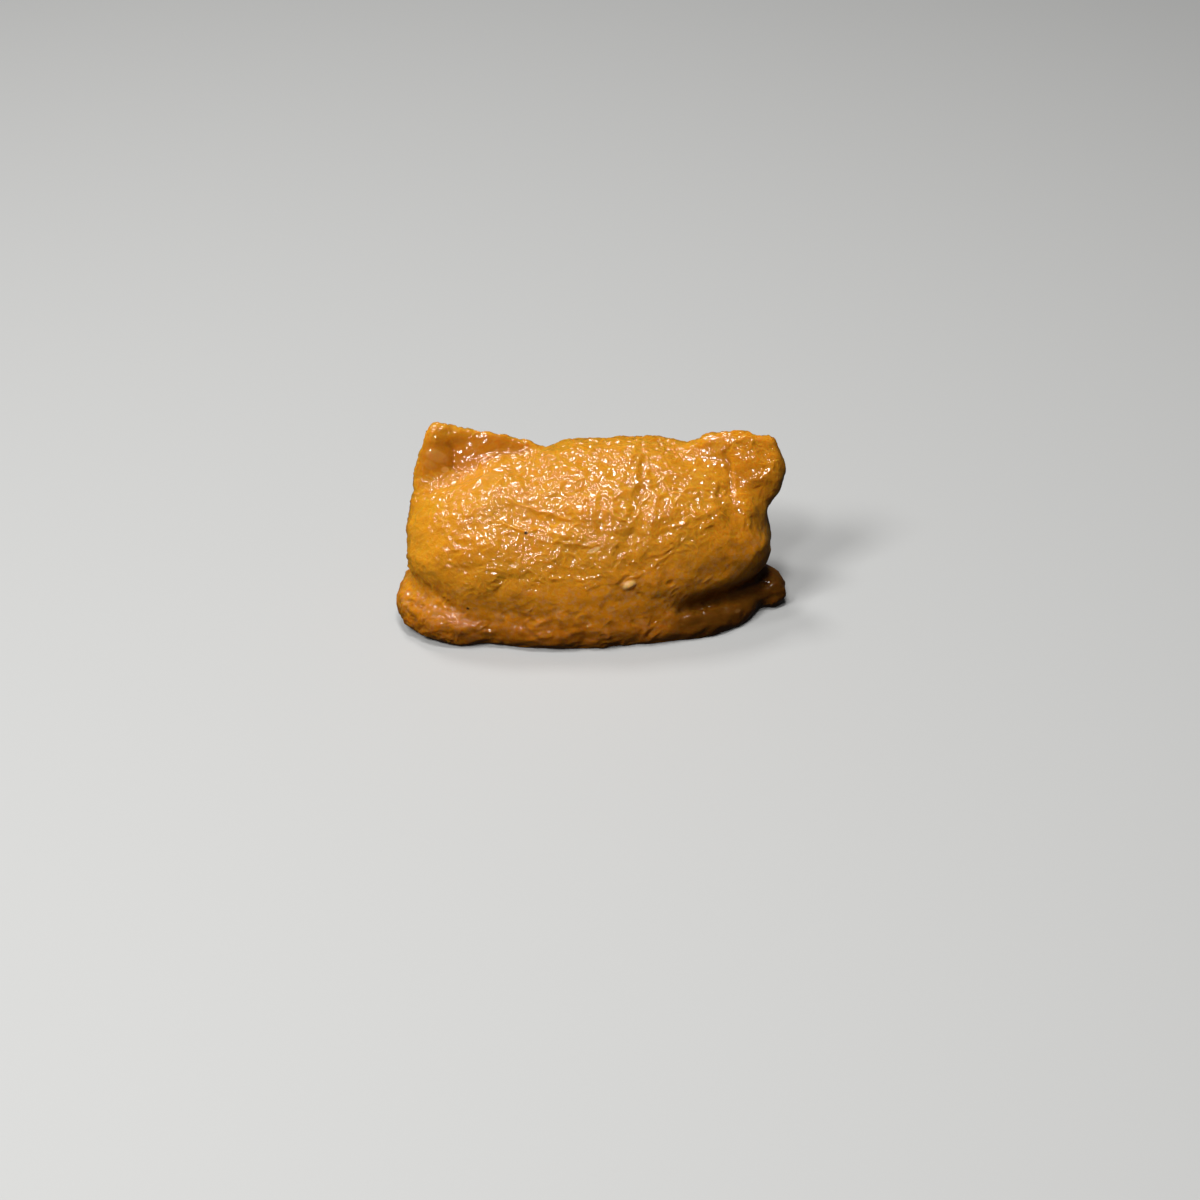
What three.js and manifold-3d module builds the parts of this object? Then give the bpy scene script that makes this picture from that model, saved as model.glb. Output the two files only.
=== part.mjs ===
// An inari sushi: a pouch of braised fried tofu, stuffed with rice and set down on its folded mouth.
// Millimetres, +Z up. X runs along the pouch, -Y is its front, and the origin is the middle of its base.
//
// The pouch is written as a signed distance field: a rice-filled belly, the two ears of the pouch's shut
// end, the heel where the mouth is folded under, and the hollows and creases between them. A net of
// triangles is then drawn over the field's zero level and cut flat at the base.
import * as THREE from "three";
import { ImprovedNoise } from "three/addons/math/ImprovedNoise.js";
import { mergeVertices } from "three/addons/utils/BufferGeometryUtils.js";
import Module from "manifold-3d";

// ---------- driving dimensions ----------

const LENGTH = 86; // over the heel's two ends
const DEPTH = 40; // front to back
const HEIGHT = 38; // base to the tip of the left ear
const CELL = 1.5; // spacing of the net's vertices
const SEAT = CELL / 12; // vertices this close to the base are set on it
const UNDER_BASE = 5; // the field goes on this far below the base, where it is then cut flat
const ROOM = 4; // left round the pouch in the box that the net is drawn in

// The belly: slices across the pouch, each an ellipse that leans back the more the higher it goes.
const BELLY = {
  middle: -0.3, // of its length
  half: 40.4,
  roundness: 2.2, // of a slice: 2 is an ellipse, more is boxier
  ends: 3.4, // the same along the pouch
  bow: 2.4, // power of the height by which a slice leans back
  tuck: 4, // how much shorter each end is at the foot
  tuckHeight: 18, // than from this height up
  tuckPower: 1.5,
};
const SLICE_VALUES = ["middle", "half", "widest", "top", "lean"];
const SLICES = [
  // place along the pouch, middle and half width, the height at which it is that wide, height of the
  // crest, and how far it leans back
  { x: -40, middle: -1, half: 19, widest: 11, top: 31.2, lean: 7 },
  { x: -24, middle: -1, half: 19, widest: 11, top: 31.6, lean: 7 },
  { x: -13, middle: -1, half: 19, widest: 11, top: 31.8, lean: 7.5 },
  { x: -6, middle: -1, half: 18.8, widest: 11, top: 34, lean: 9.5 },
  { x: 4, middle: -0.8, half: 18.6, widest: 11.4, top: 34.6, lean: 9.5 },
  { x: 18, middle: 0.4, half: 17, widest: 13, top: 34.1, lean: 8.5 },
  { x: 30, middle: 1.4, half: 15, widest: 15, top: 32.6, lean: 6 },
  { x: 40, middle: 1.6, half: 14.4, widest: 15, top: 30, lean: 4 },
];

const EAR = { left: 3.2, right: 4.6, blend: 2.6, puffBlend: 5 }; // thickness, and how they melt in

// How far the heel melts into the belly at mid-length, and at the two ends, where it is a fold of its own.
const HEEL_BLEND = { middle: 6, ends: 2.4, from: 10, to: 28 };

const WAVES = [
  // of the skin: length along the pouch and round it, height, and where in the noise they start
  { along: 17, round: 11, height: 0.8, start: 0 },
  { along: 9, round: 5.5, height: 0.45, start: 7 },
];
const CREASE = { inset: 1, fade: 1.4 }; // it is deepest this far within its path's edge, and ends this softly

// Evening out the net: rounds of easing, then pulls and pushes in turn.
const EASE = { rounds: 4, share: 0.5, pulls: [0.5, -0.52, 0.5, -0.52, 0.5, -0.52] };
const LEAST_SLOPE = { belly: 0.02, net: 0.1 }; // of a field that is divided by its slope
const SLOPE_STEP = { belly: 0.01, net: 0.05 }; // over which the slope is taken

const vec = (x, y, z) => new THREE.Vector3(x, y, z);

// ---------- building blocks of the field ----------

const smooth = THREE.MathUtils.smoothstep;
const mix = THREE.MathUtils.lerp;

function union(a, b, blend) {
  const h = Math.max(blend - Math.abs(a - b), 0) / blend;
  return Math.min(a, b) - (h * h * blend) / 4;
}

const subtract = (a, b, blend) => -union(-a, b, blend);

// A smooth path through points that are given as [x, y, z, radius].
function rope(points, steps = 16) {
  const places = new THREE.CatmullRomCurve3(points.map(([x, y, z]) => vec(x, y, z))).getPoints(steps);
  const radii = new THREE.CatmullRomCurve3(points.map(([, , , r], i) => vec(i, r, 0))).getPoints(steps);
  return places.map((place, i) => ({ place, radius: radii[i].y }));
}

// Distance to a rope's surface.
function ropeDistance(p, points) {
  const line = new THREE.Line3();
  const near = new THREE.Vector3();
  let best = Infinity;
  for (let i = 1; i < points.length; i++) {
    const [a, b] = [points[i - 1], points[i]];
    line.set(a.place, b.place);
    const share = line.closestPointToPointParameter(p, true);
    best = Math.min(best, line.at(share, near).distanceTo(p) - mix(a.radius, b.radius, share));
  }
  return best;
}

// A bent sheet of tofu: triangles that fan out from the first corner, thickened.
function sheet(p, corners, thickness) {
  const triangle = new THREE.Triangle();
  const near = new THREE.Vector3();
  let best = Infinity;
  for (let i = 2; i < corners.length; i++) {
    triangle.set(corners[0], corners[i - 1], corners[i]);
    triangle.closestPointToPoint(p, near);
    best = Math.min(best, near.distanceTo(p));
  }
  return best - thickness / 2;
}

// ---------- the parts of the pouch ----------

const sliceAt = new THREE.CubicInterpolant(
  SLICES.map((s) => s.x),
  SLICES.flatMap((s) => SLICE_VALUES.map((value) => s[value])),
  SLICE_VALUES.length,
);

function bellyLevel(x, y, z) {
  const { roundness: n, ends: m } = BELLY;
  const along = THREE.MathUtils.clamp(x, SLICES[0].x, SLICES.at(-1).x);
  const [middle, half, widest, top, lean] = sliceAt.evaluate(along);
  const across = (y - middle - lean * (Math.max(z, 0) / top) ** BELLY.bow) / half;
  const up = (z - widest) / (top - widest);
  const slice = Math.abs(across) ** n + Math.abs(up) ** n;
  const under = Math.max(BELLY.tuckHeight - z, 0) / BELLY.tuckHeight;
  const length = BELLY.half - BELLY.tuck * under ** BELLY.tuckPower;
  return (Math.abs((x - BELLY.middle) / length) ** m + slice ** (m / n)) ** (1 / m) - 1;
}

function belly(p) {
  const h = SLOPE_STEP.belly;
  const here = bellyLevel(p.x, p.y, p.z);
  const slope = Math.hypot(
    (bellyLevel(p.x + h, p.y, p.z) - here) / h,
    (bellyLevel(p.x, p.y + h, p.z) - here) / h,
    (bellyLevel(p.x, p.y, p.z + h) - here) / h,
  );
  return here / Math.max(slope, LEAST_SLOPE.belly);
}

// The left ear is a thin sheet, bent along a valley that runs down from its tip. One half goes down the
// pouch's side, the other is a flange behind the belly that falls to a notch in the crest.
const LEFT_EAR = [
  vec(-30.6, 8.6, 27), // the valley's foot
  vec(-38.2, 4.2, 22.6),
  vec(-38.2, 6.6, 27.4),
  vec(-34.5, 12.2, 36.8), // the tip
  vec(-28, 13.4, 35),
  vec(-19.5, 13.8, 33.8),
  vec(-13, 14, 31.8),
  vec(-12, 12.6, 24),
];

// The right ear hangs over the side of the pouch, and is puffed up in its middle.
const RIGHT_EAR = [
  vec(30, 6, 25),
  vec(22.4, 9.8, 32.6),
  vec(26.6, 9.4, 35),
  vec(33, 9, 35.6),
  vec(39.2, 9, 35),
  vec(40.4, 7.2, 29.6),
  vec(38.6, 5.4, 24),
  vec(35.6, 4.4, 21.4),
];
const EAR_PUFF = rope([
  [31, 7, 29, 4],
  [36, 6.4, 28, 4.6],
]);

function ears(p) {
  const right = union(sheet(p, RIGHT_EAR, EAR.right), ropeDistance(p, EAR_PUFF), EAR.puffBlend);
  return Math.min(sheet(p, LEFT_EAR, EAR.left), right);
}

// Hollows: in the belly in front of the left ear, and under the right ear, where the end is tucked in.
const HOLLOW_BLEND = 3;
const LEFT_HOLLOW = rope([
  [-34, 6, 31.5, 2.4],
  [-29, 6.4, 32, 3.4],
  [-24, 9, 34.4, 2.6],
]);
const RIGHT_HOLLOW = rope([
  [31, -9, 26.4, 1.4],
  [38, -4.6, 22, 2.2],
  [43.6, 2, 19, 3.4],
  [43.8, 12, 16, 3.4],
]);

// The heel: the folded mouth runs round the foot of the pouch, and its corners stick out at both ends.
const HEEL_FRONT = rope(
  [
    [-35.6, 4, 4, 4.4],
    [-37.4, -1.4, 4.6, 4.8],
    [-38, -7, 4.6, 5],
    [-36.4, -12, 4.2, 4.8],
    [-30, -15.8, 3.6, 4.2],
    [-22, -16.8, 3, 3.4],
    [-8, -16.8, 2.6, 3],
    [4, -17, 2.6, 3],
    [17, -14.4, 2.6, 3.4],
    [28, -10.6, 2.3, 4.1],
    [32.6, -6, 2.9, 4],
    [34.8, -1.6, 3.9, 3.8],
    [34.4, 4, 4, 3.8],
  ],
  48,
);
const HEEL_BACK = rope(
  [
    [-35.6, 4, 4, 4.4],
    [-33, 9.4, 4, 4.6],
    [-20, 14.4, 3.6, 4.4],
    [0, 16, 3.4, 4.2],
    [22, 14.4, 3.4, 4.2],
    [33, 9, 3.2, 4],
    [38.6, 2.6, 3, 4.3],
    [39.6, -0.6, 2.8, 4.1],
  ],
  32,
);

const heel = (p) => Math.min(ropeDistance(p, HEEL_FRONT), ropeDistance(p, HEEL_BACK));

// Creases pressed into the skin: a depth, and a path whose radius is the crease's width.
const CREASES = [
  // between the belly and the right ear, then on down the side
  {
    depth: 1.1,
    rope: rope([
      [29.4, 5, 34, 0.8],
      [29.8, 1, 30.2, 1.5],
      [30.6, -4, 26.6, 1.6],
      [32.4, -8, 23, 1.4],
      [35.6, -9.6, 19.6, 1],
    ]),
  },
  // down the belly's upper half
  {
    depth: 0.8,
    rope: rope([
      [12.6, 4, 35, 1],
      [11.6, -4, 31.6, 1.4],
      [10, -10, 26.6, 1.5],
      [7, -13.6, 22.4, 1],
    ]),
  },
  // in the left ear, from its tip down to the belly
  {
    depth: 0.5,
    rope: rope([
      [-31.6, 9, 33, 1.2],
      [-31.2, 6, 29, 1.6],
      [-33, 2.4, 27, 1],
    ]),
  },
  // across the belly, left of its middle
  {
    depth: 0.6,
    rope: rope([
      [-20, -8, 26.4, 0.9],
      [-8, -10, 26, 1.3],
      [2, -11, 25, 1],
    ]),
  },
  // between the belly and the heel's left corner
  {
    depth: 1,
    rope: rope([
      [-40.4, 2, 10.4, 1.2],
      [-39.6, -4, 10.8, 1.4],
      [-37.2, -11, 11.2, 1.3],
      [-33, -15.6, 10, 1],
      [-27, -18.4, 7.8, 0.6],
    ]),
  },
  // between the belly and the heel's right end
  {
    depth: 1.2,
    rope: rope([
      [38.4, 0, 8.4, 1.1],
      [36.8, -4.8, 7.2, 1.5],
      [32.4, -9, 6.4, 1.7],
      [26.4, -12, 6.2, 1.5],
      [19, -14.8, 6.2, 0.8],
    ]),
  },
];

function creases(p) {
  let sum = 0;
  for (const crease of CREASES) {
    const from = Math.max(ropeDistance(p, crease.rope) + CREASE.inset, 0);
    sum += crease.depth * Math.exp(-((from / CREASE.fade) ** 2));
  }
  return sum;
}

// Soft waves of the skin, longer along the pouch than round it.
const noise = new ImprovedNoise();

function waves(p) {
  let sum = 0;
  for (const { along, round, height, start } of WAVES) {
    sum += height * noise.noise(p.x / along + start, p.y / round, p.z / round);
  }
  return sum;
}

function pouch(p) {
  const nearEnds = smooth(Math.abs(p.x), HEEL_BLEND.from, HEEL_BLEND.to);
  let d = subtract(belly(p), ropeDistance(p, LEFT_HOLLOW), HOLLOW_BLEND);
  d = union(d, ears(p), EAR.blend);
  d = subtract(d, ropeDistance(p, RIGHT_HOLLOW), HOLLOW_BLEND);
  d = union(d, heel(p), mix(HEEL_BLEND.middle, HEEL_BLEND.ends, nearEnds));
  return Math.max(d + creases(p) + waves(p), -UNDER_BASE - p.z);
}

// ---------- the net over the field ----------

function gradient(field, p) {
  const q = p.clone();
  const along = (axis) => {
    q.copy(p)[axis] += SLOPE_STEP.net;
    const ahead = field(q);
    q[axis] -= 2 * SLOPE_STEP.net;
    return (ahead - field(q)) / (2 * SLOPE_STEP.net);
  };
  return vec(along("x"), along("y"), along("z"));
}

// One vertex in each cell that the zero level crosses, and one quad round each grid edge that it crosses.
function drawNet(field, box, cell) {
  const count = box.getSize(vec()).divideScalar(cell).ceil().addScalar(1).toArray();
  const at = (i, j, k) => vec(i, j, k).multiplyScalar(cell).add(box.min);
  const index = (i, j, k) => (i * count[1] + j) * count[2] + k;
  const values = new Float32Array(count[0] * count[1] * count[2]);
  const eachPoint = (visit) => {
    for (let i = 0; i < count[0]; i++)
      for (let j = 0; j < count[1]; j++) for (let k = 0; k < count[2]; k++) visit(i, j, k);
  };
  eachPoint((i, j, k) => (values[index(i, j, k)] = field(at(i, j, k))));

  const corners = [...Array(8).keys()].map((c) => [c & 1, (c >> 1) & 1, (c >> 2) & 1]);
  const edges = corners.flatMap((a, m) => [1, 2, 4].filter((bit) => !(m & bit)).map((bit) => [m, m | bit]));
  const vertexOf = new Map();
  const points = [];
  eachPoint((i, j, k) => {
    if (i + 1 >= count[0] || j + 1 >= count[1] || k + 1 >= count[2]) return;
    const v = corners.map(([a, b, c]) => values[index(i + a, j + b, k + c)]);
    const crossed = edges.filter(([m, n]) => v[m] < 0 !== v[n] < 0);
    if (!crossed.length) return;
    const mean = vec();
    for (const [m, n] of crossed) {
      const share = v[m] / (v[m] - v[n]);
      mean.add(vec(...corners[m]).lerp(vec(...corners[n]), share));
    }
    vertexOf.set(index(i, j, k), points.length);
    points.push(mean.divideScalar(crossed.length).add(vec(i, j, k)).multiplyScalar(cell).add(box.min));
  });

  const quads = [];
  const steps = [
    [1, 0, 0],
    [0, 1, 0],
    [0, 0, 1],
  ];
  eachPoint((i, j, k) => {
    steps.forEach((step, axis) => {
      const [a, b] = [steps[(axis + 1) % 3], steps[(axis + 2) % 3]];
      const end = [i + step[0], j + step[1], k + step[2]];
      if (end.some((e, n) => e >= count[n])) return;
      const inside = values[index(i, j, k)] < 0;
      if (inside === values[index(...end)] < 0) return;
      const ring = [
        [0, 0],
        [1, 0],
        [1, 1],
        [0, 1],
      ].map(([m, n]) => {
        const cell = [i, j, k].map((at, axis) => at - m * a[axis] - n * b[axis]);
        return vertexOf.get(index(...cell));
      });
      quads.push(inside ? ring : ring.reverse());
    });
  });
  return { points, quads };
}

// Evens out the net: each vertex moves towards its neighbours, then back onto the zero level. Last, pulls
// and pushes in turn take the ripple off the sharpest edges, and leave the net its size.
function relax(net, field) {
  const neighbours = net.points.map(() => new Set());
  for (const q of net.quads) q.forEach((v, n) => neighbours[v].add(q[(n + 1) % 4]).add(q[(n + 3) % 4]));
  const eased = (share) =>
    net.points.map((p, v) => {
      const mean = vec();
      for (const n of neighbours[v]) mean.add(net.points[n]);
      return p.clone().lerp(mean.divideScalar(neighbours[v].size), share);
    });
  for (let round = 0; round < EASE.rounds; round++) {
    net.points = eased(EASE.share).map((q) => {
      const slope = gradient(field, q);
      return q.addScaledVector(slope, -field(q) / Math.max(slope.lengthSq(), LEAST_SLOPE.net));
    });
  }
  for (const share of EASE.pulls) net.points = eased(share);
}

// Vertices close to the base are set on it, so that cutting it flat leaves no slivers.
function seat(net) {
  for (const p of net.points) if (Math.abs(p.z) < SEAT) p.z = 0;
}

// Each quad is split along its shorter diagonal.
function triangles({ points, quads }) {
  const shorter = (a, b, c, d) => points[a].distanceTo(points[c]) < points[b].distanceTo(points[d]);
  return quads.flatMap(([a, b, c, d]) => (shorter(a, b, c, d) ? [a, b, c, a, c, d] : [a, b, d, b, c, d]));
}

// ---------- the solid ----------

const wasm = await Module();
wasm.setup();

function solid(vertProperties, triVerts) {
  return new wasm.Manifold(new wasm.Mesh({ numProp: 3, vertProperties, triVerts }));
}

function solidOfNet(net) {
  return solid(new Float32Array(net.points.flatMap((p) => p.toArray())), new Uint32Array(triangles(net)));
}

function solidOfGeometry(geometry) {
  geometry.deleteAttribute("normal");
  geometry.deleteAttribute("uv");
  const merged = mergeVertices(geometry);
  return solid(merged.attributes.position.array, new Uint32Array(merged.index.array));
}

function geometryOf(made) {
  const { numProp, vertProperties, triVerts } = made.getMesh();
  const position = new Float32Array((vertProperties.length / numProp) * 3);
  for (let i = 0; i * 3 < position.length; i++) {
    position.set(vertProperties.subarray(i * numProp, i * numProp + 3), i * 3);
  }
  const geometry = new THREE.BufferGeometry();
  geometry.setAttribute("position", new THREE.BufferAttribute(position, 3));
  geometry.setIndex(new THREE.BufferAttribute(triVerts, 1));
  return geometry;
}

function buildPouch() {
  const reach = vec(LENGTH / 2 + ROOM, DEPTH / 2 + 2 * ROOM, UNDER_BASE + ROOM);
  const box = new THREE.Box3(reach.clone().negate(), reach.clone().setZ(HEIGHT + ROOM));
  const net = drawNet(pouch, box, CELL);
  relax(net, pouch);
  seat(net);
  const floor = new THREE.BoxGeometry(2 * LENGTH, 2 * LENGTH, LENGTH).translate(0, 0, -LENGTH / 2);
  const geometry = geometryOf(solidOfNet(net).subtract(solidOfGeometry(floor)));
  geometry.computeBoundingBox();
  const middle = geometry.boundingBox.getCenter(vec());
  return geometry.translate(-middle.x, -middle.y, 0);
}

const tofu = new THREE.MeshStandardMaterial({ color: 0xc98024, roughness: 0.35, metalness: 0 });
const mesh = new THREE.Mesh(buildPouch(), tofu);
mesh.name = "tofu_pouch";

const inari = new THREE.Group();
inari.add(mesh);

export default inari;
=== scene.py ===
"""An inari sushi: the crinkled, wet skin of its pouch of fried tofu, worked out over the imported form.

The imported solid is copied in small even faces, and its points are moved out or in by a relief. Lengths are
in mm and in the frame's axes (x to the right, y to the back, z up) unless a line says otherwise.
"""

import math

import bpy
import numpy as np
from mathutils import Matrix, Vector


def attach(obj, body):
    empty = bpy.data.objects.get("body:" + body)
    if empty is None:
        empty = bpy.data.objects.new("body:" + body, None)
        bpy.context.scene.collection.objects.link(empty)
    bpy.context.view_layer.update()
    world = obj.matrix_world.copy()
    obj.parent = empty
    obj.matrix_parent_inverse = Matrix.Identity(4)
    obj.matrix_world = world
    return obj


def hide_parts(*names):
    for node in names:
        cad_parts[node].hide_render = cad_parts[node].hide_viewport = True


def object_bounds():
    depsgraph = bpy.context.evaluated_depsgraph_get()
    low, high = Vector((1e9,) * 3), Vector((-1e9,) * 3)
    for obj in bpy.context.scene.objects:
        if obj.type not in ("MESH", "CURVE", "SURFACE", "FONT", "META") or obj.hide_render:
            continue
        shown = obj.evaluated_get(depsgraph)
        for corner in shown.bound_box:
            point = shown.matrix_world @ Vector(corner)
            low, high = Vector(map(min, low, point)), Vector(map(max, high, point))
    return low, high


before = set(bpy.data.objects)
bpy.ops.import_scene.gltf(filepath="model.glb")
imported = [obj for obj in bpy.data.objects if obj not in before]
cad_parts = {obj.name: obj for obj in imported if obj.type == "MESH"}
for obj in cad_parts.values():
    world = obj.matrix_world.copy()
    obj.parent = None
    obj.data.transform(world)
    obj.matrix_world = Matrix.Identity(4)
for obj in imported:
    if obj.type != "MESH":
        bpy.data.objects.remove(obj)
cad_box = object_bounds()
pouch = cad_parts["tofu_pouch"]

MM = 0.001

# ---------------------------------------------------------------- camera

# The camera looks down on the pouch's front, from this far away and this high above the floor.
CAMERA = {
    "target": (1.703, 0.453, 0.0),
    "distance": 585.0,
    "elevation": 32.2,  # degrees
    "sensor": 36,
    "lens_per_frame": 2606 / 1200,  # the focal length, in widths of the picture
    "clip": (0.01, 20),  # metres
}


def camera():
    data = bpy.data.cameras.new("camera")
    data.sensor_width = CAMERA["sensor"]
    data.lens = CAMERA["sensor"] * CAMERA["lens_per_frame"]
    data.clip_start, data.clip_end = CAMERA["clip"]
    made = bpy.data.objects.new("camera", data)
    bpy.context.scene.collection.objects.link(made)
    tilt = math.radians(CAMERA["elevation"])
    back = Vector((0, -math.cos(tilt), math.sin(tilt)))
    made.location = (Vector(CAMERA["target"]) + back * CAMERA["distance"]) * MM
    made.rotation_euler = (math.pi / 2 - tilt, 0, 0)
    bpy.context.scene.camera = made


# ---------------------------------------------------------------- noise

# What the noise's hash multiplies by: a cell's three whole numbers, the seed, and then the mixture, twice.
AXIS_FACTORS = (73856093, 19349663, 83492791)
SEED_FACTOR = 2654435761
MIX_FACTORS = (1274126177, 2246822519)
LOW_BITS = 0xFFFFFFFF
TEN_BITS = 0x3FF
NOISE_GAIN = 1.4  # brings the noise to between about -1 and 1


def hashed(cell, seed):
    """A whole number of 32 bits for each cell."""
    x, y, z = (cell * AXIS_FACTORS).T
    h = x ^ y ^ z ^ seed * SEED_FACTOR
    h = (h ^ (h >> 13)) * MIX_FACTORS[0] & LOW_BITS
    h = (h ^ (h >> 16)) * MIX_FACTORS[1] & LOW_BITS
    return h ^ (h >> 15)


def gradient_noise(p, seed):
    """Smooth noise between about -1 and 1 at the points p, an array of n by 3, with one wave to a unit."""
    cell = np.floor(p)
    f = p - cell
    u = f * f * f * (f * (f * 6 - 15) + 10)
    cell = cell.astype(np.int64)
    total = np.zeros(len(p))
    for corner in np.ndindex(2, 2, 2):
        h = hashed(cell + corner, seed)
        slope = np.stack([(h >> shift & TEN_BITS) / (TEN_BITS / 2) - 1 for shift in (0, 10, 20)], 1)
        weight = np.prod(np.where(np.array(corner) == 1, u, 1 - u), axis=1)
        total += weight * (slope * (f - corner)).sum(1)
    return total * NOISE_GAIN


def warp(p, size, amount, seed):
    """Moves the points about, smoothly, so that what is worked out from them wanders."""
    q = p / size
    return p + amount * np.stack([gradient_noise(q, seed + i) for i in range(3)], 1)


def waves(p, high, size, seed):
    """Soft bumps and dips, so high and, along each axis, of such a size."""
    return high * gradient_noise(p / np.array(size), seed)


def ridges(p, high, size, seed, sharp):
    """Narrow winding ridges, so high and, along each axis, about half of such a size apart."""
    return high * np.exp(-((sharp * gradient_noise(p / np.array(size), seed)) ** 2))


def smooth(x, a, b):
    """0 up to a, 1 from b on, and a smooth step between them."""
    t = np.clip((x - a) / (b - a), 0, 1)
    return t * t * (3 - 2 * t)


def bell(x, width):
    return np.exp(-((x / width) ** 2))


# ---------------------------------------------------------------- paths on the skin

STEPS = 10  # how many straight bits a path has from one of its points to the next
REACH = 8  # farther off than this, a path does nothing
FAR = 99.0


def path(points):
    """A smooth curve through the points, as an array of many."""
    pts = np.array(points, float)
    pts = np.vstack([2 * pts[0] - pts[1], pts, 2 * pts[-1] - pts[-2]])
    made = []
    for i in range(1, len(pts) - 2):
        a, b, c, d = pts[i - 1 : i + 3]
        for t in np.arange(STEPS) / STEPS:
            cubic = (2 * a - 5 * b + 4 * c - d) * t**2 + (3 * b - a - 3 * c + d) * t**3
            made.append(0.5 * (2 * b + (c - a) * t + cubic))
    return np.vstack([made, pts[-2]])


def along_path(p, points, fade_in, fade_out):
    """For each of p: its distance to the path, and a share that falls to 0 towards the path's two ends."""
    line = path(points)
    distance = np.full(len(p), FAR)
    share = np.zeros(len(p))
    near = ((p > line.min(0) - REACH) & (p < line.max(0) + REACH)).all(1)
    q = p[near]
    best = np.full(len(q), FAR)
    along = np.zeros(len(q))
    for i in range(len(line) - 1):
        a, b = line[i], line[i + 1]
        ab = b - a
        t = np.clip(((q - a) @ ab) / (ab @ ab), 0, 1)
        d = np.linalg.norm(q - a - t[:, None] * ab, axis=1)
        closer = d < best
        best[closer] = d[closer]
        along[closer] = (i + t[closer]) / (len(line) - 1)
    distance[near] = best
    share[near] = along
    return distance, smooth(share, 0, fade_in) * (1 - smooth(share, fade_out, 1))


# Creases pressed into the skin: how deep and how wide each is, how high its lips stand, and its way.
CREASES = [
    # down the belly from the crest
    (0.32, 0.7, 0.25, [
        (11.8, 6.5, 34.6), (11.1, 1.9, 33.1), (10.2, -3.2, 30.5),
        (9.7, -6, 28.6), (8.2, -8.9, 27.1), (4.3, -11.5, 25.4),
    ]),
    # across the belly, right of it
    (0.28, 0.5, 0.2, [(13.6, -3.4, 30.2), (19, -2.6, 29.6), (25.7, -1.6, 28.6), (28.6, -2.4, 27)]),
    # between the belly and the heel's right end
    (0.1, 0.9, 0.1, [(38.2, -0.6, 8), (36.6, -5, 7), (32.4, -9.4, 6.1), (26.4, -12.4, 5.9), (19, -15.6, 6)]),
    # a filling, where the solid's own crease there runs out, so its depth is below 0
    (-0.9, 1.3, 0, [(30, -11, 6), (26.4, -12.4, 5.9), (22.5, -14.2, 5.9), (19, -15.6, 6), (15, -17, 6)]),
    # between the belly and the heel's left end
    (0.3, 0.8, 0.15, [
        (-38.6, -6, 12.4), (-36.5, -11.8, 12.1), (-34.5, -13.1, 10.6), (-31.6, -15, 9.5),
        (-28.7, -16.8, 7.6), (-24.5, -18.3, 6.2), (-18, -19.4, 4.6),
    ]),
    # beside the right ear
    (0.35, 0.7, 0.2, [
        (29.4, 8.4, 36.6), (29.8, 6, 33.3), (30.2, 3.7, 30.3),
        (29.7, 1.8, 28.4), (30.5, -1.4, 26.2), (30.9, -3.4, 24.6),
    ]),
    # under the right ear
    (0.24, 1.0, 0.1, [(30.9, -2.6, 25.4), (33.4, -2.8, 24.3), (36, -1.6, 23.4), (39, 0.6, 22.6)]),
    (0.2, 0.7, 0.1, [
        (33.4, -2.8, 24.3), (35, -4, 20.9), (36.3, -5.2, 18.3), (37.4, -2.8, 19), (38.6, 0, 20.4),
    ]),
    # the valley in the left ear
    (0.8, 1.0, 0, [(-32.1, 10.8, 34.9), (-31, 10.3, 32.5), (-30.6, 8.9, 29.9), (-31, 6.8, 27.9)]),
    # where the heel is stepped
    (0.4, 0.6, 0.1, [(-15.6, -19.2, 6.7), (-13, -20.2, 4.4), (-10.2, -20.6, 1.7)]),
    # round the nodule
    (0.4, 0.42, 0.1, [
        (5.6, -17.2, 13.4), (5.7, -16.9, 14.6), (6.1, -16.6, 15.6), (7.2, -16.2, 16.4), (8.6, -15.9, 16.6),
    ]),
]
CREASE_FADE = (0.2, 0.7)  # the share of its way up to which a crease fades in, and from which it fades out
LIP = {"away": 1.9, "wide": 0.8}  # how far off a crease's lips are and how wide, in the crease's widths
# Creases, seams and pits are coloured brown as painted shade.
BROWNEST = 0.5  # from this depth on, a crease is as brown as creases get

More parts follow.
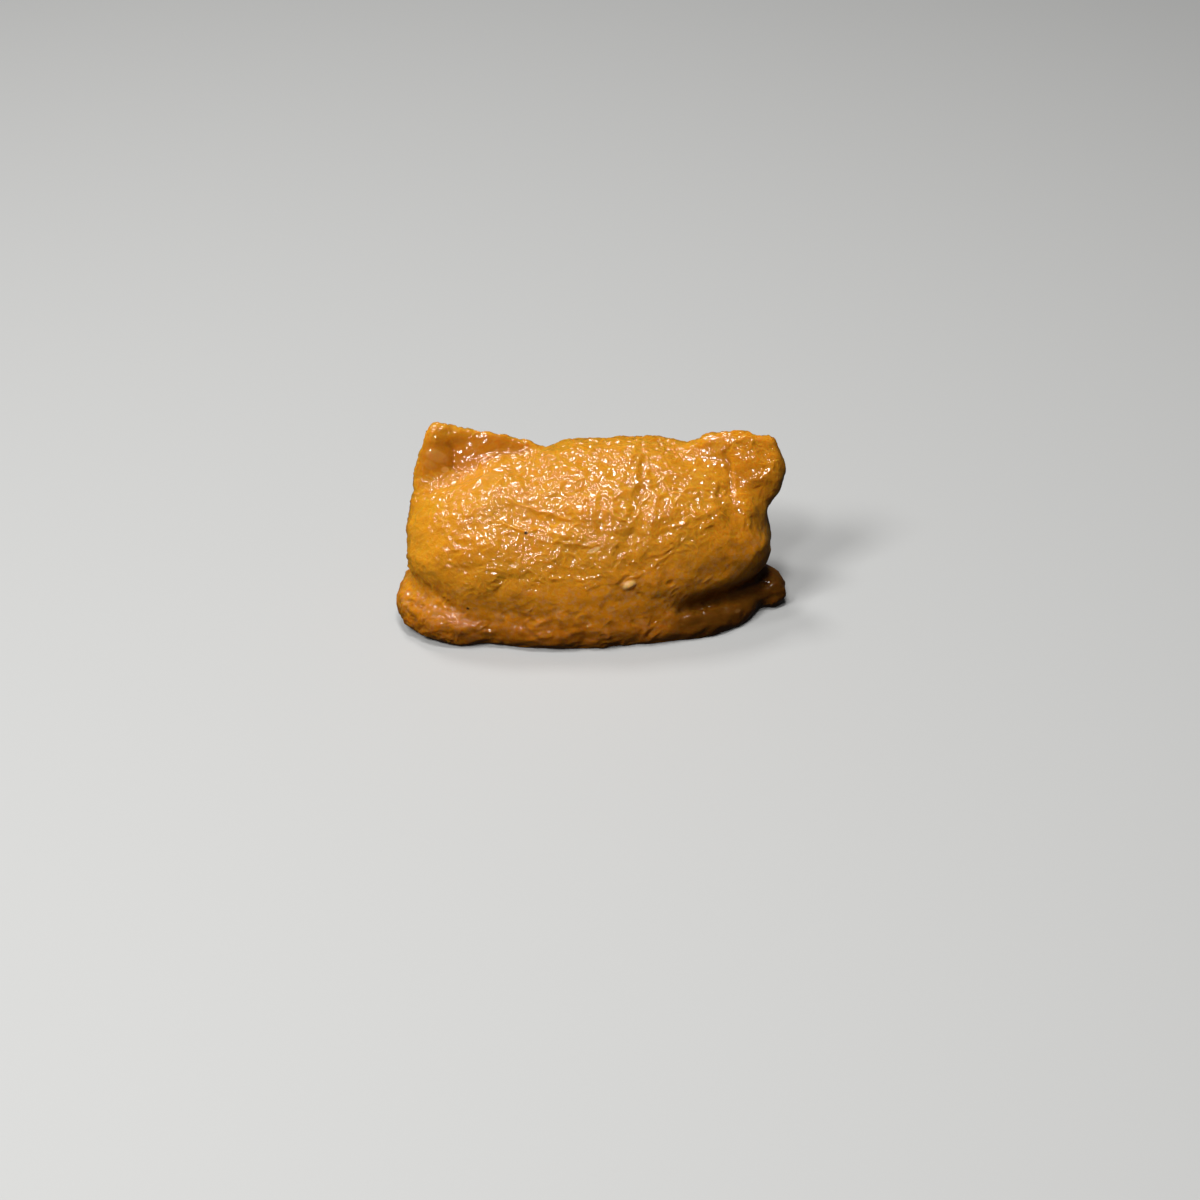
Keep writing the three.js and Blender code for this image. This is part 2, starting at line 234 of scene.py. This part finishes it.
# Thin folds that stand up: how high and how wide each is, and its way.
FOLDS = [
    # long ones from the upper left
    (0.34, 0.42, [
        (-19.5, -4.2, 29), (-15.6, -5.7, 28.2), (-10.2, -7.6, 27.3), (-6.3, -8.9, 27.1), (-1, -9.8, 26.4),
    ]),
    (0.3, 0.4, [
        (-24, -6.5, 27), (-19.9, -8.5, 26.1), (-15.6, -10.2, 25.1), (-10.2, -10.7, 24.9), (-4.9, -12.2, 24.2),
    ]),
    (0.22, 0.36, [(-13, -12.4, 23.4), (-7, -13.2, 23), (-1, -13.8, 22.2), (4, -13.6, 22)]),
    # rising to the right, over the belly's right half
    (0.3, 0.4, [(11.4, -11.8, 23), (15.8, -9.7, 24.8), (21.2, -7.5, 25.5), (26.7, -4.9, 26)]),
    (0.2, 0.36, [(1.7, -18.4, 11.8), (10.3, -15.6, 16.5), (19, -11.7, 20.4), (27.8, -7.6, 21.8)]),
    (0.2, 0.34, [(10.3, -14.5, 18.4), (14.7, -12.8, 20.4), (19, -11.1, 21.4)]),
    # across the lower belly
    (0.26, 0.36, [(-11.2, -16.9, 16.8), (-6.9, -17.1, 16.4), (-0.5, -16.9, 16.5), (4.9, -16.6, 16.6)]),
    (0.3, 0.4, [(-13, -19.4, 6.4), (-10.2, -19.9, 7.2), (-6.9, -19.7, 8.4), (-3.7, -19.9, 7.2), (0, -20, 6)]),
    (0.24, 0.34, [(10.4, -19, 3.3), (14.7, -17.7, 5.8), (17.4, -16.1, 7.1)]),
    # round the foot of the left ear
    (0.34, 0.4, [
        (-19.6, 11.2, 31.9), (-22.6, 10, 31.4), (-24.2, 8.2, 30.6),
        (-23.7, 5.6, 30.4), (-25.9, 5.4, 29.8), (-28.6, 6.4, 28.8),
    ]),
    (0.3, 0.36, [(-39.6, 4.3, 24.5), (-37.1, 4.5, 26.1), (-34.9, 4.5, 26.9)]),
    (0.3, 0.36, [(-37.9, 2.3, 24.3), (-35.1, 1, 26.1), (-32.5, 1.5, 27.3)]),
    (0.26, 0.36, [(-30.9, 4.4, 28.6), (-30.4, 1.4, 28.4), (-31.4, -1.6, 27.4)]),
]
FOLD_FADE = (0.2, 0.75)
DIP = {"deep": 0.4, "away": 2.4}  # the dip beside a fold, in the fold's heights and widths

# Seams under the pouch, where its mouth is folded shut: how deep and how wide each is, and its way.
SEAMS = [
    (0.9, 0.6, [(-35, -3, 0), (-22, 1, 0), (-6, -1.4, 0), (12, 1.6, 0), (36, 0.4, 0)]),
    (0.7, 0.5, [(-22, 1, 0), (-27, 6, 0), (-33, 8, 0)]),
    (0.7, 0.5, [(-27, -0.6, 0), (-30, -6, 0), (-34, -9, 0)]),
    (0.7, 0.5, [(24, 1.4, 0), (27, -4, 0), (31, -7, 0)]),
]
SEAM_FADE = (0.15, 0.85)

# Small things: where each is, half its length and half its width, how high it stands (or how deep it is, with
# a minus), and how pale it makes the skin. Each lies along the skin, and rises to the right.
SPOTS = [
    ((8.0, -16.9, 14.7), 1.5, 0.85, 0.75, 0.9),  # a bean-like nodule
    ((16.9, -15.2, 14.2), 0.9, 0.5, -0.2, 0.0),  # a pit, and its lip
    # The lip's paleness is a painted highlight.
    ((17.5, -15.3, 13.3), 0.7, 0.35, 0.16, 0.3),
    ((0.4, -14.0, 21.8), 1.3, 0.5, 0.36, 1.0),  # a loose flake
    # The left ear's bumps: their paleness is partly a painted highlight.
    ((-34.5, 8.7, 32.4), 1.5, 1.2, 0.45, 0.2),  # bumps in the left ear
    ((-35.0, 8.2, 29.6), 1.1, 0.9, 0.3, 0.1),
    ((-32.6, 8.3, 28.8), 0.9, 0.6, 0.3, 0.3),
    ((-28.3, -16.6, 13.3), 1.4, 0.5, 0.25, 0.2),  # small swellings of the belly and the heel
    ((25.2, -12.0, 13.0), 1.3, 0.4, 0.14, 0.1),
    ((32.6, -11.4, 5.0), 0.8, 0.4, 0.25, 0.1),
]
SPOT_RISE = (1, 0, 0.45)  # which way a spot's length runs
SPOT_REACH = 4  # how far out a spot is worked out, in halves of its length
SPOT_EDGE = 1.6  # how sudden its edge is
SPOT_COVERS = 0.8  # how much of the relief it takes the place of
SPOT_PALE = (0.15, 0.6)  # between which shares of its height it turns pale

# Dark specks: where each is, and from how far out to how far out it fades.
SPECKS = [
    (-14.3, -11.1, 24.4),
    (-26.9, -16.9, 8.9),
    (28.4, -15.6, 3.9),
    (-5.5, 17.0, 14.0),
    (17.0, 15.5, 20.0),
]
SPECK_EDGE = (0.2, 0.5)


# ---------------------------------------------------------------- the parts of the skin

LEAN = 0.14  # the lower half reaches this much higher for each mm to the right

# Where each change begins and where it is complete. What faces a way goes by the normal's share of that way.
UPPER_HALF = (9, 21)  # its height, at the middle
DULL_RIGHT = (22, 34)  # to the right, where the gold gives way to amber
UNDER = {"facing_down": (0.5, 0.9), "height": (0.5, 2)}
LEFT_EAR = {
    "back": (4.5, 7.5),
    "left": (12, 16),
    "up": (27, 30),
    "facing_front": (0.2, 0.6),
    "rim": (34, 37),
}
HEEL_TOP = (5, 9)
CRINKLED_LEFT = (24, 30)  # to the left, where the lower half is nearly as crinkled as the upper
LEFT_END = (26, 33)  # to the left, where the crinkles show in the inner colour too
RIGHT_END = {"facing_right": (0.3, 0.8), "right": (30, 38)}
STRETCHED = (0.1, 0.5)  # facing right, where the skin is drawn tight
# Painted shade towards the foot: the skin is brown at the bottom, and has its own colour from this height up.
FOOT_SHADE = (1, 13)  # its height, where the skin turns from brown
# Where the painted shadow lies: the heel's lower right end, under the belly's overhang.
HEEL_SHADOW_REACH = {"right": (12, 24), "top": (6, 15), "back": (2, 8)}

GOLD_LOST = 0.8  # how much of the gold is lost on the right
EAR_CALM = 0.6  # how much lower the relief is in the left ear
PLAIN_LOST = 0.8  # how much of its plainness the lower half loses on the left


def parts_of(p, n):
    """How much, 0 to 1, each point belongs to each part of the skin."""
    x, y, z = p.T
    low = 1 - smooth(z - LEAN * x, *UPPER_HALF)
    ear = smooth(y, *LEFT_EAR["back"]) * smooth(-x, *LEFT_EAR["left"]) * smooth(z, *LEFT_EAR["up"])
    ear = ear * smooth(-n[:, 1], *LEFT_EAR["facing_front"]) * (1 - smooth(z, *LEFT_EAR["rim"]))
    return {
        "low": low,
        "gold": (1 - low) * (1 - GOLD_LOST * smooth(x, *DULL_RIGHT)),
        "under": smooth(-n[:, 2], *UNDER["facing_down"]) * (1 - smooth(z, *UNDER["height"])),
        "ear": ear,
        "calm": 1 - EAR_CALM * ear,
        "plain": low * (1 - PLAIN_LOST * smooth(-x, *CRINKLED_LEFT)),
        "heel": 1 - smooth(z, *HEEL_TOP),
        "left_end": smooth(-x, *LEFT_END) * low,
        "right_end": smooth(n[:, 0], *RIGHT_END["facing_right"]) * smooth(x, *RIGHT_END["right"]),
        "stretched": smooth(n[:, 0], *STRETCHED),
    }


def painted_heel_shadow(p):
    """Painted shadow: the heel's lower right end, where the belly's overhang shades it."""
    x, y, z = p.T
    heel_shadow = smooth(x, *HEEL_SHADOW_REACH["right"]) * (1 - smooth(z, *HEEL_SHADOW_REACH["top"]))
    return heel_shadow * (1 - smooth(y, *HEEL_SHADOW_REACH["back"]))


# ---------------------------------------------------------------- the relief

# Soft waves: how high, how long along each axis, and the seed.
LUMPS = (0.34, (7, 5, 5), 21)
SMALL_LUMPS = (0.28, (3.4, 2.6, 2.6), 22)
HEEL_LUMPS = (0.36, (3.2, 2.0, 2.0), 23)
GRAIN = (0.07, (1.5, 1.1, 1.1), 73)
# Ridges: the same, and how sharp they are.
CRINKLE = (0.33, (2.9, 2.5, 2.5), 41, 4)
FINE_CRINKLE = (0.28, (1.7, 1.4, 1.4), 42, 3.6)
FLECKS = (0.34, (3.4, 1.7, 1.7), 72, 4.4)
STRETCH = (0.09, (9, 3.8, 3.8), 71, 2)
# How these, and the paths, are led astray: over what size, by how much, and the seed.
LUMP_WARP = (7, 2.2, 11)
CRINKLE_WARP = (2.6, 1.3, 31)
FLECK_WARP = (4, 1.0, 61)
PATH_WARP = (4, 1.1, 81)
PATH_SHAKE = (1.5, 0.35, 91)

PATCH = {"size": 8, "seed": 51, "edge": (-0.3, 0.25), "least": 0.6}  # where the crinkles are higher
SPARSE = {"size": 4, "seed": 75, "edge": (-0.25, 0.3)}  # where the lower half has flecks
ROUGH = {"size": 2.6, "seed": 85, "mean": 0.65, "range": 0.5}  # how unevenly creases and folds are pressed
RISE_CURVE = 0.009  # how the flecks' rise steepens to the right

EASED_WHERE_PLAIN = {"small_lumps": 0.5, "crinkles": 0.88}  # how much lower these are on the plain lower half
KEPT_ELSEWHERE = {"stretch": 0.2, "flecks": 0.1}  # how much of these there is on the rest of the skin
EASED_ON_RIGHT = {"crinkles": 0.6, "flecks": 0.75}  # how much lower these are at the right end

SOFTNESS = 0.7  # light that has gone into the skin comes out of it as if the crinkles were this much lower
SHARP_LEFT = 0.8  # how much of that softness the left end lacks
LEVEL = 0.24  # the relief's mean height, taken off so that the form stays as it is
FLATNESS = 0.7  # how much lower the relief is underneath
RAGGED_FOOT = 0.5  # how far the relief shifts the foot's edge


def lumps(p, part):
    q = warp(p, *LUMP_WARP)
    made = waves(q, *LUMPS)
    made += waves(q, *SMALL_LUMPS) * (1 - EASED_WHERE_PLAIN["small_lumps"] * part["plain"])
    made += waves(q, *HEEL_LUMPS) * part["heel"]
    return made


def crinkles(p, part):
    """The dense crinkles of the upper half and of the left end."""
    q = warp(p, *CRINKLE_WARP)
    patches = smooth(gradient_noise(p / PATCH["size"], PATCH["seed"]), *PATCH["edge"])
    patches = PATCH["least"] + (1 - PATCH["least"]) * patches
    patches *= 1 - EASED_ON_RIGHT["crinkles"] * part["right_end"]
    patches += part["ear"] * (1 - part["ear"])  # higher along the ear's edge
    eased = 1 - EASED_WHERE_PLAIN["crinkles"] * part["plain"]
    return (ridges(q, *CRINKLE) + ridges(q, *FINE_CRINKLE)) * patches * eased


def stretch_and_flecks(p, part):
    """The lower half's long wrinkles, and its short ones. Both rise to the right."""
    rising = p.copy()
    rising[:, 2] -= LEAN * p[:, 0] + RISE_CURVE * np.maximum(p[:, 0], 0) ** 2
    q = warp(rising, *FLECK_WARP)
    sparse = smooth(gradient_noise(p / SPARSE["size"], SPARSE["seed"]), *SPARSE["edge"])
    flecks = ridges(q, *FLECKS) * sparse + waves(q, *GRAIN)
    flecks *= 1 - EASED_ON_RIGHT["flecks"] * part["stretched"]
    made = []
    for name, ways in (("stretch", ridges(q, *STRETCH)), ("flecks", flecks)):
        kept = KEPT_ELSEWHERE[name]
        made.append(ways * (kept + (1 - kept) * part["plain"]))
    return made


def press_creases(wander, rough, height, crease_shade):
    """Lowers the height along the creases, raises their lips, and marks them for painted shade."""
    for depth, width, lip, way in CREASES:
        d, ends = along_path(wander, way, *CREASE_FADE)
        valley = bell(d, width) * ends * rough
        rim = bell(d - LIP["away"] * width, LIP["wide"] * width) * ends * rough
        height += lip * rim - depth * valley
        np.maximum(crease_shade, valley * min(1, depth / BROWNEST), out=crease_shade)


def raise_folds(wander, rough, height):
    """Raises the height along the thin folds, with a dip beside each."""
    for high, width, way in FOLDS:
        d, ends = along_path(wander, way, *FOLD_FADE)
        height += high * bell(d, width) * ends * rough
        height -= DIP["deep"] * high * bell(d - DIP["away"] * width, width) * ends * rough


def press_seams(wander, under, height, crease_shade):
    """Lowers the height along the seams underneath, and marks them for painted shade."""
    for depth, width, way in SEAMS:
        d, ends = along_path(wander, way, *SEAM_FADE)
        groove = bell(d, width) * ends * under
        height -= depth * groove
        np.maximum(crease_shade, groove, out=crease_shade)


def set_spots(p, n, height, crease_shade):
    """Shapes the small things into the height, marks pits for painted shade, and gives how pale each point
    is, partly as a painted highlight.
    """
    pale_and_highlight = np.zeros(len(p))
    for place, long, wide, high, paleness in SPOTS:
        off = p - np.array(place)
        near = np.linalg.norm(off, axis=1) < SPOT_REACH * long
        facing = n[near].mean(0)
        facing /= np.linalg.norm(facing)
        across = np.cross(facing, np.cross(np.array(SPOT_RISE), facing))
        across /= np.linalg.norm(across)
        a, b = off[near] @ across, off[near] @ np.cross(facing, across)
        form = np.exp(-(((a / long) ** 2 + (b / wide) ** 2) ** SPOT_EDGE))
        height[near] = height[near] * (1 - SPOT_COVERS * form) + high * form
        pale_and_highlight[near] = np.maximum(pale_and_highlight[near], paleness * smooth(form, *SPOT_PALE))
        if high < 0:
            crease_shade[near] = np.maximum(crease_shade[near], form)
    return pale_and_highlight


def specks(p):
    """How dark the specks make each point."""
    dark = np.zeros(len(p))
    for place in SPECKS:
        d = np.linalg.norm(p - np.array(place), axis=1)
        dark = np.maximum(dark, 1 - smooth(d, *SPECK_EDGE))
    return dark


def relief(p, n):
    """How far each point of the skin is moved out, how far with its fine crinkles eased, and what its colour
    goes by: the height, and shares of 0 to 1."""
    part = parts_of(p, n)
    stretch, flecks = stretch_and_flecks(p, part)
    fine = (crinkles(p, part) + flecks) * part["calm"]
    height = (lumps(p, part) + stretch) * part["calm"] + fine

    crease_shade = np.zeros(len(p))
    rough = ROUGH["mean"] + ROUGH["range"] * gradient_noise(p / ROUGH["size"], ROUGH["seed"])
    wander = warp(warp(p, *PATH_WARP), *PATH_SHAKE)
    press_creases(wander, rough, height, crease_shade)
    raise_folds(wander, rough, height)
    pale_and_highlight = set_spots(p, n, height, crease_shade)

    flat = 1 - FLATNESS * part["under"]
    height *= flat
    press_seams(wander, part["under"], height, crease_shade)
    moved = height - LEVEL * (1 - part["under"])
    eased = moved - SOFTNESS * fine * flat * (1 - SHARP_LEFT * part["left_end"])
    return moved, eased, {
        "height": height,
        "crease_shade": crease_shade,
        "pale_and_highlight": pale_and_highlight,
        "speck": specks(p),
        "low": part["low"],
        "gold": part["gold"],
        "calm": part["calm"],
        # painted shade towards the foot
        "foot_shade": 1 - smooth(p[:, 2] + RAGGED_FOOT * height, *FOOT_SHADE),
        # painted shadow on the heel's lower right end
        "heel_shadow": painted_heel_shadow(p),
    }


# ---------------------------------------------------------------- the skin's mesh

VOXEL = 0.5 * MM  # the faces are half as long, after the subdivision
EASE = {"factor": 0.5, "times": 5}  # takes the voxels' steps off


def fine_copy(source, name):
    """A copy of a solid, in small even faces."""
    made = bpy.data.objects.new(name, source.data.copy())
    bpy.context.scene.collection.objects.link(made)
    remesh = made.modifiers.new("remesh", "REMESH")
    remesh.mode = "VOXEL"
    remesh.voxel_size = VOXEL
    ease = made.modifiers.new("ease", "SMOOTH")
    ease.factor = EASE["factor"]
    ease.iterations = EASE["times"]
    finer = made.modifiers.new("finer", "SUBSURF")
    finer.levels = finer.render_levels = 1
    graph = bpy.context.evaluated_depsgraph_get()
    mesh = bpy.data.meshes.new_from_object(made.evaluated_get(graph))
    made.modifiers.clear()
    made.data = mesh
    return made


def points_of(mesh):
    co = np.zeros(len(mesh.vertices) * 3)
    mesh.vertices.foreach_get("co", co)
    return co.reshape(-1, 3) / MM


def normals_of(mesh):
    n = np.zeros(len(mesh.vertices) * 3)
    mesh.vertex_normals.foreach_get("vector", n)
    return n.reshape(-1, 3)


def set_points(mesh, p):
    mesh.vertices.foreach_set("co", (p * MM).ravel())
    mesh.update()


def store(mesh, name, values):
    """Keeps a number, or a vector, for each of the mesh's points."""
    values = np.asarray(values, np.float32)
    kind, field = ("FLOAT", "value") if values.ndim == 1 else ("FLOAT_VECTOR", "vector")
    mesh.attributes.new(name, kind, "POINT").data.foreach_set(field, values.ravel())


def skin():
    made = fine_copy(pouch, "tofu_skin")
    mesh = made.data
    p, n = points_of(mesh), normals_of(mesh)
    moved, eased, shares = relief(p, n)
    lo, hi = (np.array(c) / MM for c in cad_box)
    set_points(mesh, p + n * eased[:, None])
    soft = normals_of(mesh)
    set_points(mesh, np.clip(p + n * moved[:, None], lo, hi))
    for name, values in shares.items():
        store(mesh, name, values)
    store(mesh, "soft_normal", soft)
    mesh.polygons.foreach_set("use_smooth", np.ones(len(mesh.polygons), bool))
    mesh.materials.clear()
    mesh.materials.append(tofu())
    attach(made, "root")
    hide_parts("tofu_pouch")


# ---------------------------------------------------------------- materials


class Nodes:
    """Short names for what the materials are made of."""

    def __init__(self, name):
        self.material = bpy.data.materials.new(name)
        self.material.use_nodes = True
        self.tree = self.material.node_tree
        self.shader = self.tree.nodes["Principled BSDF"].inputs

    def add(self, kind, inputs=None, **settings):
        made = self.tree.nodes.new(kind)
        for key, value in settings.items():
            setattr(made, key, value)
        for key, value in (inputs or {}).items():
            self.put(value, made.inputs[key])
        return made

    def put(self, value, socket):
        if isinstance(value, bpy.types.NodeSocket):
            self.tree.links.new(value, socket)
        else:
            socket.default_value = value

    def noise(self, place, scale, detail, rough=0.5, distortion=0.0):
        made = self.add(
            "ShaderNodeTexNoise",
            {"Vector": place, "Scale": scale, "Detail": detail, "Roughness": rough, "Distortion": distortion},
        )
        return made.outputs["Fac"]

    def span(self, value, a, b, to_a=0.0, to_b=1.0):
        made = self.add(
            "ShaderNodeMapRange",
            {"Value": value, "From Min": a, "From Max": b, "To Min": to_a, "To Max": to_b},
            interpolation_type="SMOOTHSTEP",
        )
        return made.outputs["Result"]

    def ridges(self, place, scale, width, distortion):
        """Thin winding ridges between 0 and 1."""
        away = self.math("SUBTRACT", self.noise(place, scale, 0, distortion=distortion), 0.5)
        return self.span(self.math("ABSOLUTE", away), width, 0)

    def mix(self, share, a, b):
        made = self.add("ShaderNodeMix", data_type="RGBA")
        self.put(share, made.inputs[0])
        self.put(a, made.inputs[6])
        self.put(b, made.inputs[7])
        return made.outputs[2]

    def math(self, operation, a, b=0.0):
        made = self.add("ShaderNodeMath", operation=operation)
        self.put(a, made.inputs[0])
        self.put(b, made.inputs[1])
        return made.outputs[0]

    def times(self, a, b):
        return self.math("MULTIPLY", a, b)

    def attribute(self, name):
        return self.add("ShaderNodeAttribute", attribute_name=name).outputs["Fac"]


AMBER = (0.68, 0.255, 0.006, 1)  # the lower half
GOLD = (0.70, 0.30, 0.012, 1)  # the upper half
# Painted shade: the left ear's inner face, turned forward rather than up and away from the light, is coloured
# a darker orange.
ORANGE_SHADE = (0.50, 0.15, 0.003, 1)  # in the left ear
# Tan mottle: partly the skin's own paler, drier spots and partly a painted wet sheen, strongest on the lower
# half.
TAN_AND_SHEEN = (0.62, 0.30, 0.10, 1)  # the mottle
# Brown: in the blotches it is the skin's own tone; in hollows, creases, seams, pits and towards the foot it
# is painted shade.
BROWN_AND_SHADE = (0.30, 0.08, 0.002, 1)  # blotches, hollows, folds and the foot
# Painted shadow, near black: the heel's lower right end, under the belly's overhang.
HEEL_SHADOW_BROWN = (0.12, 0.04, 0.002, 1)  # the heel's lower right end
# Pale: the nodule's and the flake's own colour, and a painted highlight on the pit's lip and the left ear's
# bumps.
PALE_AND_HIGHLIGHT = (0.9, 0.56, 0.2, 1)  # the nodule and the flake
DARK = (0.03, 0.012, 0.004, 1)  # specks

# Patterns: the noise's waves to a metre, its finer layers and how strong these are, and then from which of
# its values to which the pattern goes, and what it is at these two (0 and 1 where nothing is said).
PATTERNS = {
    "gold": ((90, 3), (0.3, 0.7, 0.45, 1)),
    "mottle_and_sheen": ((900, 4, 0.65), (0.45, 0.65)),
    "blotches": ((420, 3), (0.48, 0.7)),
    "roughness": ((700, 2), (0.3, 0.7, 0.36, 0.52)),
}
# How strong each is on the upper half and on the lower half.
BY_HALF = {"mottle_and_sheen": (0.1, 0.65), "blotches": (0.15, 0.5), "squiggles": (1, 0.4), "coat": (1, 0.5)}
# Painted shade: a darker orange on the left ear's inner face, and brown in the relief's hollows and towards
# the foot.
# From which value to which of what the mesh keeps the colour changes, and how far it is changed at these two.
ORANGE_SHADE_BY_CALM = (1, 0.25, 0, 0.6)
BROWN_SHADE_BY_HEIGHT = (0.0, -0.6, 0, 0.25)
BROWN_SHADE_BY_FOOT = (0, 1, 0, 0.65)
# Painted shade in creases, seams and pits; a painted shadow on the heel's lower right end; and pale, partly a
# painted highlight.
# How far it is changed where the mesh's value is 1, and evenly less where that is less.
BROWN_SHADE_BY_CREASE = 0.6
HEEL_SHADOW_STRENGTH = 0.95
PALE_AND_HIGHLIGHT_SHARE = 0.85

# Squiggles too fine for the mesh: waves to a metre, how wide each is, and how much it winds.
SQUIGGLES = (700, 0.16, 0.9)
FINE_SQUIGGLES = (1150, 0.2, 0.8)
FINE_SHARE = 0.6  # the fine ones' height, in heights of the others
SQUIGGLE_HEIGHT = 0.03 * MM

# Wet, translucent skin: a sharp clear coat over a soft inside.
TOFU = {
    "Coat Roughness": 0.08,
    "Coat IOR": 1.7,
    "Subsurface Weight": 1.0,
    "Subsurface Radius": (1.0, 0.5, 0.15),
    "Subsurface Scale": 1.2 * MM,
    "Specular IOR Level": 0.05,
}
FLOOR = {"Base Color": (0.55, 0.55, 0.54, 1), "Roughness": 0.8}


def pattern(m, place, name):
    noise, span = PATTERNS[name]
    return m.span(m.noise(place, *noise), *span)


def by_half(m, name):
    return m.span(m.attribute("low"), 0, 1, *BY_HALF[name])


def skin_colour(m, place):
    golden = m.times(m.attribute("gold"), pattern(m, place, "gold"))
    colour = m.mix(golden, AMBER, GOLD)
    # Painted shade: a darker orange on the left ear's inner face.
    colour = m.mix(m.span(m.attribute("calm"), *ORANGE_SHADE_BY_CALM), colour, ORANGE_SHADE)
    # Tan mottle: partly the skin's own paler spots, partly a painted wet sheen.
    colour = m.mix(m.times(pattern(m, place, "mottle_and_sheen"), by_half(m, "mottle_and_sheen")), colour, TAN_AND_SHEEN)
    colour = m.mix(m.times(pattern(m, place, "blotches"), by_half(m, "blotches")), colour, BROWN_AND_SHADE)
    # Painted shade: brown in the relief's hollows.
    colour = m.mix(m.span(m.attribute("height"), *BROWN_SHADE_BY_HEIGHT), colour, BROWN_AND_SHADE)
    # Painted shade: brown in creases, seams and pits.
    colour = m.mix(m.times(m.attribute("crease_shade"), BROWN_SHADE_BY_CREASE), colour, BROWN_AND_SHADE)
    # Painted shade: brown towards the foot.
    colour = m.mix(m.span(m.attribute("foot_shade"), *BROWN_SHADE_BY_FOOT), colour, BROWN_AND_SHADE)
    # Painted shadow on the heel's lower right end.
    colour = m.mix(m.times(m.attribute("heel_shadow"), HEEL_SHADOW_STRENGTH), colour, HEEL_SHADOW_BROWN)
    # Pale: the nodule's and the flake's own colour, and a painted highlight on the pit's lip and the left
    # ear's bumps.
    colour = m.mix(m.times(m.attribute("pale_and_highlight"), PALE_AND_HIGHLIGHT_SHARE), colour, PALE_AND_HIGHLIGHT)
    return m.mix(m.attribute("speck"), colour, DARK)


def inner_normal(m, place):
    """What the light that comes out of the skin goes by: the eased relief, with the finest squiggles."""
    fine = m.times(m.ridges(place, *FINE_SQUIGGLES), FINE_SHARE)
    squiggles = m.math("ADD", m.ridges(place, *SQUIGGLES), fine)
    strength = m.times(by_half(m, "squiggles"), m.attribute("calm"))
    bump = {
        "Strength": 1.0,
        "Distance": SQUIGGLE_HEIGHT,
        "Height": m.times(squiggles, strength),
        "Normal": m.add("ShaderNodeAttribute", attribute_name="soft_normal").outputs["Vector"],
    }
    return m.add("ShaderNodeBump", bump).outputs["Normal"]


def tofu():
    m = Nodes("braised_tofu_skin")
    place = m.add("ShaderNodeTexCoord").outputs["Object"]
    m.put(skin_colour(m, place), m.shader["Base Color"])
    m.put(inner_normal(m, place), m.shader["Normal"])
    m.put(pattern(m, place, "roughness"), m.shader["Roughness"])
    m.put(by_half(m, "coat"), m.shader["Coat Weight"])
    for name, value in TOFU.items():
        m.put(value, m.shader[name])
    return m.material


def floor_material():
    m = Nodes("pale_floor")
    for name, value in FLOOR.items():
        m.put(value, m.shader[name])
    return m.material


# ---------------------------------------------------------------- floor and light

FLOOR_HALF = 3.0  # metres

# Softboxes, in metres and watts: where each is, how wide, how strong, and whether the wet skin mirrors it.
LIGHTS = {
    "over": ((0.0, -0.12, 0.94), 0.18, 2.9, True),
    "behind": ((-0.2, 0.46, 0.82), 0.19, 2.2, True),
    "front": ((-0.5, -0.44, 0.72), 0.26, 4.8, False),
    "glint": ((-0.16, -0.56, 0.7), 0.11, 1.4, True),
    "left": ((-0.4, -0.02, 0.9), 0.14, 1.3, True),
}
LIT = Vector((0, 0, 0.015))  # what each of them faces, in metres
WORLD = 0.022  # how strong the white light from all round is


def floor():
    mesh = bpy.data.meshes.new("floor")
    corners = [(x * FLOOR_HALF, y * FLOOR_HALF, 0) for x, y in ((-1, -1), (1, -1), (1, 1), (-1, 1))]
    mesh.from_pydata(corners, [], [(0, 1, 2, 3)])
    mesh.materials.append(floor_material())
    made = bpy.data.objects.new("floor", mesh)
    made.visible_diffuse = False  # so that it throws no light up at the pouch
    made.visible_glossy = False
    bpy.context.scene.collection.objects.link(made)


def softboxes():
    for name, (place, width, power, mirrored) in LIGHTS.items():
        data = bpy.data.lights.new(name, "AREA")
        data.shape = "SQUARE"
        data.size = width
        data.energy = power
        made = bpy.data.objects.new(name, data)
        made.visible_glossy = mirrored
        made.location = place
        made.rotation_euler = (LIT - Vector(place)).to_track_quat("-Z", "Y").to_euler()
        bpy.context.scene.collection.objects.link(made)


def light_from_all_round():
    world = bpy.data.worlds.new("studio")
    world.use_nodes = True
    background = world.node_tree.nodes["Background"].inputs
    background["Color"].default_value = (1, 1, 1, 1)
    background["Strength"].default_value = WORLD
    bpy.context.scene.world = world


camera()
skin()
floor()
softboxes()
light_from_all_round()
bpy.context.scene.view_settings.view_transform = "Standard"
